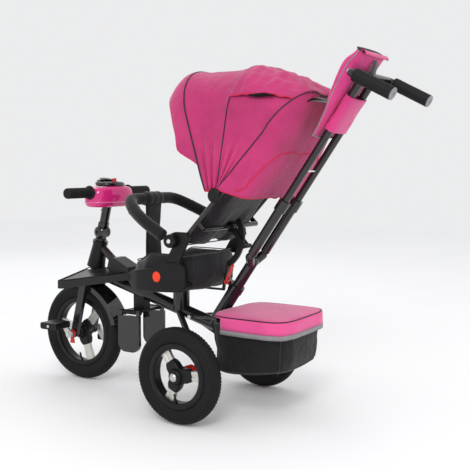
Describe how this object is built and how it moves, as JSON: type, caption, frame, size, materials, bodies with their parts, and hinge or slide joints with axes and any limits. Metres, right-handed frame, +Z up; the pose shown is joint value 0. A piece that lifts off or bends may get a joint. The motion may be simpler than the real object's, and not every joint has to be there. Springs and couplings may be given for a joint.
{
  "type": "children's tricycle",
  "caption": "Children's tricycle with fuchsia folding canopy, reclining grey seat, safety bar, footrests, telescoping push handle, pouch and rear basket.",
  "frame": {"origin": "middle of the footprint on the floor", "axes": "+X towards the front wheel, +Y to the rider's left, +Z up"},
  "size_m": [1.2172, 0.491, 0.9469],
  "materials": {
    "frame_black": "gloss",
    "axle_steel": "satin",
    "bright_chrome": "polished",
    "crank_steel": "satin",
    "tyre_rubber": "matte",
    "wheel_plastic": "satin",
    "black_plastic": "satin",
    "gloss_black": "gloss",
    "deck_grey": "satin",
    "pink_plastic": "gloss",
    "red_plastic": "gloss",
    "grip_rubber": "matte",
    "grey_plastic": "satin",
    "foam_black": "matte",
    "grey_fabric": "woven",
    "pink_fabric": "woven",
    "black_fabric": "woven"
  },
  "bodies": {
    "root": {"main_frame": "frame_black", "rear_frame": "frame_black", "rear_axle": "axle_steel", "frame_bolts": "axle_steel", "head_cover": "black_plastic", "foot_platform": "deck_grey", "footrest_bracket": "black_plastic", "basket_rail": "frame_black", "basket": "black_fabric", "socket_clamp": "black_plastic", "handle_post": "frame_black", "handle_lower_tubes": "frame_black", "telescope_collars": "gloss_black"},
    "lid": {"basket_lid": "pink_fabric"},
    "quick_release_lever": {"quick_release": "red_plastic"},
    "upper_handle": {"handle_upper_tubes": "frame_black", "handle_tie": "bright_chrome", "handle_grips": "grip_rubber", "pouch_bag": "pink_fabric"},
    "trigger": {"handle_trigger": "grey_plastic"},
    "brake_left": {"brake_pedal_left": "red_plastic"},
    "brake_right": {"brake_pedal_right": "red_plastic"},
    "footrest_l": {"footrest_left": "black_plastic"},
    "footrest_r": {"footrest_right": "black_plastic"},
    "steering": {"fork": "frame_black", "mudguard": "gloss_black"},
    "handlebar": {"stem_tube": "gloss_black", "handlebar_tube": "frame_black", "console_body": "pink_plastic", "console_panel": "gloss_black", "handlebar_grips": "grip_rubber"},
    "release_button": {"stem_release": "red_plastic"},
    "panel_button": {"power_button": "red_plastic"},
    "front_wheel_body": {"front_tyre": "tyre_rubber", "front_wheel": "wheel_plastic"},
    "cranks": {"crank_set": "crank_steel"},
    "clutch": {"clutch_lever": "red_plastic"},
    "pedal_l": {"pedal_left": "black_plastic"},
    "pedal_r": {"pedal_right": "black_plastic"},
    "rear_wheel_l": {"rear_tyre_left": "tyre_rubber", "rear_wheel_left": "wheel_plastic"},
    "rear_wheel_r": {"rear_tyre_right": "tyre_rubber", "rear_wheel_right": "wheel_plastic"},
    "seat": {"seat_shell": "black_plastic", "seat_cushion": "grey_fabric", "seat_arms": "black_plastic", "recline_rail": "axle_steel"},
    "button_l": {"swivel_button_left": "red_plastic"},
    "button_r": {"swivel_button_right": "red_plastic"},
    "guard_bar": {"safety_bar": "black_plastic", "safety_foam": "foam_black", "crotch_strap": "grey_fabric"},
    "backrest": {"backrest_frame": "frame_black", "backrest_pad": "grey_fabric", "canopy_hubs": "black_plastic", "canopy_rear": "pink_fabric"},
    "latch": {"recline_latch": "black_plastic"},
    "canopy": {"front_bow": "frame_black", "canopy_front": "pink_fabric"},
    "canopy_mid": {"middle_bow": "frame_black"}
  },
  "joints": [
    {"name": "steering", "type": "hinge", "parent": "root", "child": "steering", "pos_m": [0.39851, 0, 0.38236], "axis": [-0.2504, 0, 0.9681], "range_deg": [-35, 35]},
    {"name": "handlebar_fold", "type": "hinge", "parent": "steering", "child": "handlebar", "pos_m": [0.37723, 0, 0.46465], "axis": [0, 1, 0], "range_deg": [0, 90]},
    {"name": "stem_release_press", "type": "slide", "parent": "handlebar", "child": "release_button", "axis": [-1, 0, 0], "range_m": [0, 0.002], "stiffness_N_per_m": 400},
    {"name": "power_button_press", "type": "slide", "parent": "handlebar", "child": "panel_button", "axis": [0, 0, -1], "range_m": [0, 0.0015], "stiffness_N_per_m": 400},
    {"name": "front_wheel_spin", "type": "hinge", "parent": "steering", "child": "front_wheel_body", "pos_m": [0.4586, 0, 0.15], "axis": [0, 1, 0], "continuous": true},
    {"name": "crank_spin", "type": "hinge", "parent": "steering", "child": "cranks", "pos_m": [0.4586, 0, 0.15], "axis": [0, 1, 0], "continuous": true},
    {"name": "clutch_turn", "type": "hinge", "parent": "cranks", "child": "clutch", "pos_m": [0.4586, 0.0525, 0.15], "axis": [0, 1, 0], "range_deg": [0, 30]},
    {"name": "pedal_left_spin", "type": "hinge", "parent": "cranks", "child": "pedal_l", "pos_m": [0.48154, 0.1, 0.18277], "axis": [0, 1, 0], "continuous": true},
    {"name": "pedal_right_spin", "type": "hinge", "parent": "cranks", "child": "pedal_r", "pos_m": [0.43566, -0.1, 0.11723], "axis": [0, 1, 0], "continuous": true},
    {"name": "rear_wheel_left_spin", "type": "hinge", "parent": "root", "child": "rear_wheel_l", "pos_m": [-0.0654, 0.213, 0.127], "axis": [0, 1, 0], "continuous": true},
    {"name": "rear_wheel_right_spin", "type": "hinge", "parent": "root", "child": "rear_wheel_r", "pos_m": [-0.0654, -0.213, 0.127], "axis": [0, 1, 0], "continuous": true},
    {"name": "brake_left_press", "type": "hinge", "parent": "root", "child": "brake_left", "pos_m": [-0.0654, 0.166, 0.127], "axis": [0, -1, 0], "range_deg": [0, 12], "stiffness_Nm_per_rad": 1},
    {"name": "brake_right_press", "type": "hinge", "parent": "root", "child": "brake_right", "pos_m": [-0.0654, -0.166, 0.127], "axis": [0, -1, 0], "range_deg": [0, 12], "stiffness_Nm_per_rad": 1},
    {"name": "footrest_left_fold", "type": "hinge", "parent": "root", "child": "footrest_l", "pos_m": [0.2256, 0.054, 0.24], "axis": [1, 0, 0], "range_deg": [0, 90]},
    {"name": "footrest_right_fold", "type": "hinge", "parent": "root", "child": "footrest_r", "pos_m": [0.2256, -0.054, 0.24], "axis": [-1, 0, 0], "range_deg": [0, 90]},
    {"name": "seat_swivel", "type": "hinge", "parent": "root", "child": "seat", "pos_m": [0.0796, 0, 0.327], "axis": [0, 0, 1], "range_deg": [-90, 90]},
    {"name": "swivel_button_left_press", "type": "slide", "parent": "seat", "child": "button_l", "axis": [0, -1, 0], "range_m": [0, 0.002], "stiffness_N_per_m": 400},
    {"name": "swivel_button_right_press", "type": "slide", "parent": "seat", "child": "button_r", "axis": [0, 1, 0], "range_m": [0, 0.002], "stiffness_N_per_m": 400},
    {"name": "safety_bar_lift", "type": "hinge", "parent": "seat", "child": "guard_bar", "pos_m": [0.0006, 0, 0.468], "axis": [0, -1, 0], "range_deg": [0, 30]},
    {"name": "backrest_recline", "type": "hinge", "parent": "seat", "child": "backrest", "pos_m": [-0.0304, 0, 0.475], "axis": [0, 1, 0], "range_deg": [0, 28]},
    {"name": "recline_latch_turn", "type": "hinge", "parent": "backrest", "child": "latch", "pos_m": [-0.09107, 0, 0.50047], "axis": [0, 1, 0], "range_deg": [0, 20], "stiffness_Nm_per_rad": 0.3},
    {"name": "canopy_fold", "type": "hinge", "parent": "backrest", "child": "canopy", "pos_m": [-0.13884, 0, 0.59128], "axis": [0, -1, 0], "range_deg": [0, 52], "deforming": ["canopy_front"]},
    {"name": "canopy_middle_fold", "type": "hinge", "parent": "backrest", "child": "canopy_mid", "pos_m": [-0.13884, 0, 0.59128], "axis": [0, -1, 0], "range_deg": [0, 28]},
    {"name": "handle_telescope", "type": "slide", "parent": "root", "child": "upper_handle", "axis": [0.5707, 0, -0.8211], "range_m": [0, 0.08]},
    {"name": "handle_trigger_pull", "type": "hinge", "parent": "upper_handle", "child": "trigger", "pos_m": [-0.49126, 0, 0.88371], "axis": [0, -1, 0], "range_deg": [0, 20], "stiffness_Nm_per_rad": 0.3},
    {"name": "quick_release_turn", "type": "hinge", "parent": "root", "child": "quick_release_lever", "pos_m": [-0.08614, 0.014, 0.34813], "axis": [0, 1, 0], "range_deg": [0, 25]},
    {"name": "lid_lift", "type": "hinge", "parent": "root", "child": "lid", "pos_m": [-0.0954, 0, 0.276], "axis": [0, 1, 0], "range_deg": [0, 45]}
  ],
  "couplings": [
    {"joint": "crank_spin", "follows": "front_wheel_spin", "ratio": 1},
    {"joint": "canopy_middle_fold", "follows": "canopy_fold", "ratio": 0.53846}
  ]
}
